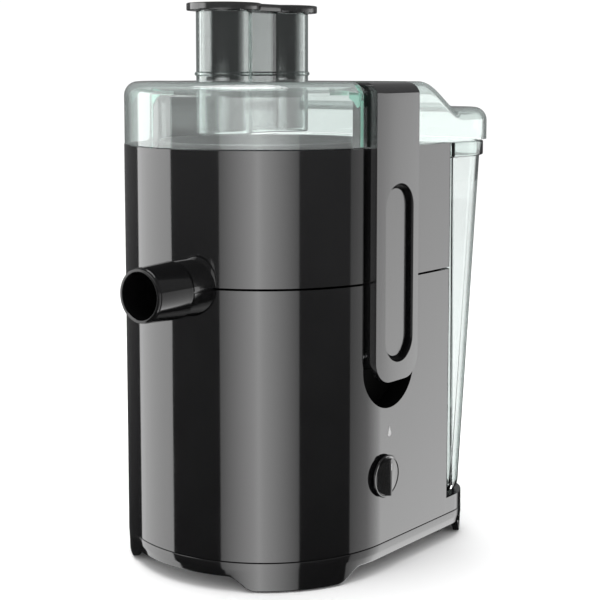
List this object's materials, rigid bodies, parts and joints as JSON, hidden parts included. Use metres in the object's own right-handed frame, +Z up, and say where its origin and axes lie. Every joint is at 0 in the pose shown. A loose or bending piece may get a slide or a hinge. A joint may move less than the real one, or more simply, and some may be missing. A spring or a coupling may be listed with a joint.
{
  "type": "centrifugal juicer",
  "caption": "Compact centrifugal juicer with a dark gloss body, clear lid and pulp container, side latches and a front juice spout.",
  "frame": {"origin": "on the floor, under the middle of the bounding box", "axes": "+Z up, -Y to the front with the juice spout, +X to the side with the control knob"},
  "size_m": [0.176, 0.2472, 0.32],
  "materials": {
    "housing_black": "polished black plastic",
    "latch_black": "polished dark grey plastic",
    "pusher_grey": "polished dark grey plastic",
    "clear_plastic": "clear plastic with a pale green edge tint",
    "knob_black": "polished black plastic",
    "inner_plastic": "moulded dark grey plastic",
    "steel_bright": "stainless steel",
    "steel_core": "stacked laminations",
    "copper": "enamelled copper",
    "brass": "drawn brass",
    "rubber": "soft black rubber"
  },
  "bodies": {
    "root": {"base_cover": "housing_black", "rubber_foot_1": "rubber", "rubber_foot_2": "rubber", "rubber_foot_3": "rubber", "rubber_foot_4": "rubber", "base_screw_1": "steel_bright", "base_screw_2": "steel_bright", "base_screw_3": "steel_bright", "base_screw_4": "steel_bright", "cord_bushing": "rubber", "motor_housing": "housing_black", "juice_collector": "housing_black", "spout_nozzle": "housing_black", "clear_lid": "clear_plastic", "latch_pin_right": "steel_bright", "latch_pin_left": "steel_bright", "knob_bezel": "knob_black", "rotary_switch": "inner_plastic", "stator_core": "steel_core", "field_coil_left": "copper", "field_coil_right": "copper", "brush_holder_left": "brass", "brush_holder_right": "brass", "lower_bearing": "steel_bright", "upper_bearing": "steel_bright", "lower_motor_bracket": "inner_plastic", "upper_motor_bracket": "inner_plastic", "motor_post_1": "steel_bright", "motor_post_2": "steel_bright", "motor_post_3": "steel_bright", "motor_post_4": "steel_bright", "motor_grommet_1": "rubber", "motor_grommet_2": "rubber", "motor_grommet_3": "rubber", "motor_grommet_4": "rubber", "shaft_seal": "rubber"},
    "rotor": {"motor_shaft": "steel_bright", "cooling_fan": "inner_plastic", "commutator": "copper", "armature": "steel_core", "drive_coupling": "inner_plastic", "strainer_hub": "inner_plastic", "grating_disc": "steel_bright", "strainer_mesh": "steel_bright", "strainer_rim": "inner_plastic"},
    "pusher": {"food_pusher": "pusher_grey"},
    "container": {"pulp_container": "clear_plastic"},
    "latch_right": {"latch_arm_right": "latch_black", "latch_pad_right": "latch_black"},
    "latch_left": {"latch_arm_left": "latch_black", "latch_pad_left": "latch_black"},
    "knob": {"control_knob": "knob_black"}
  },
  "joints": [
    {"name": "rotor_spin", "type": "hinge", "parent": "root", "child": "rotor", "pos_m": [0, -0.0044, 0.1], "axis": [0, 0, 1], "continuous": true},
    {"name": "pusher_slide", "type": "slide", "parent": "root", "child": "pusher", "axis": [0, 0, 1], "range_m": [0, 0.065]},
    {"name": "container_slide", "type": "slide", "parent": "root", "child": "container", "axis": [0, 1, 0], "range_m": [0, 0.11]},
    {"name": "latch_right_hinge", "type": "hinge", "parent": "root", "child": "latch_right", "pos_m": [0.078, 0.0036, 0.126], "axis": [0, 1, 0], "range_deg": [0, 45]},
    {"name": "latch_left_hinge", "type": "hinge", "parent": "root", "child": "latch_left", "pos_m": [-0.078, 0.0036, 0.126], "axis": [0, -1, 0], "range_deg": [0, 45]},
    {"name": "knob_turn", "type": "hinge", "parent": "root", "child": "knob", "pos_m": [0.08, -0.0016, 0.056], "axis": [1, 0, 0], "range_deg": [0, 60]}
  ]
}
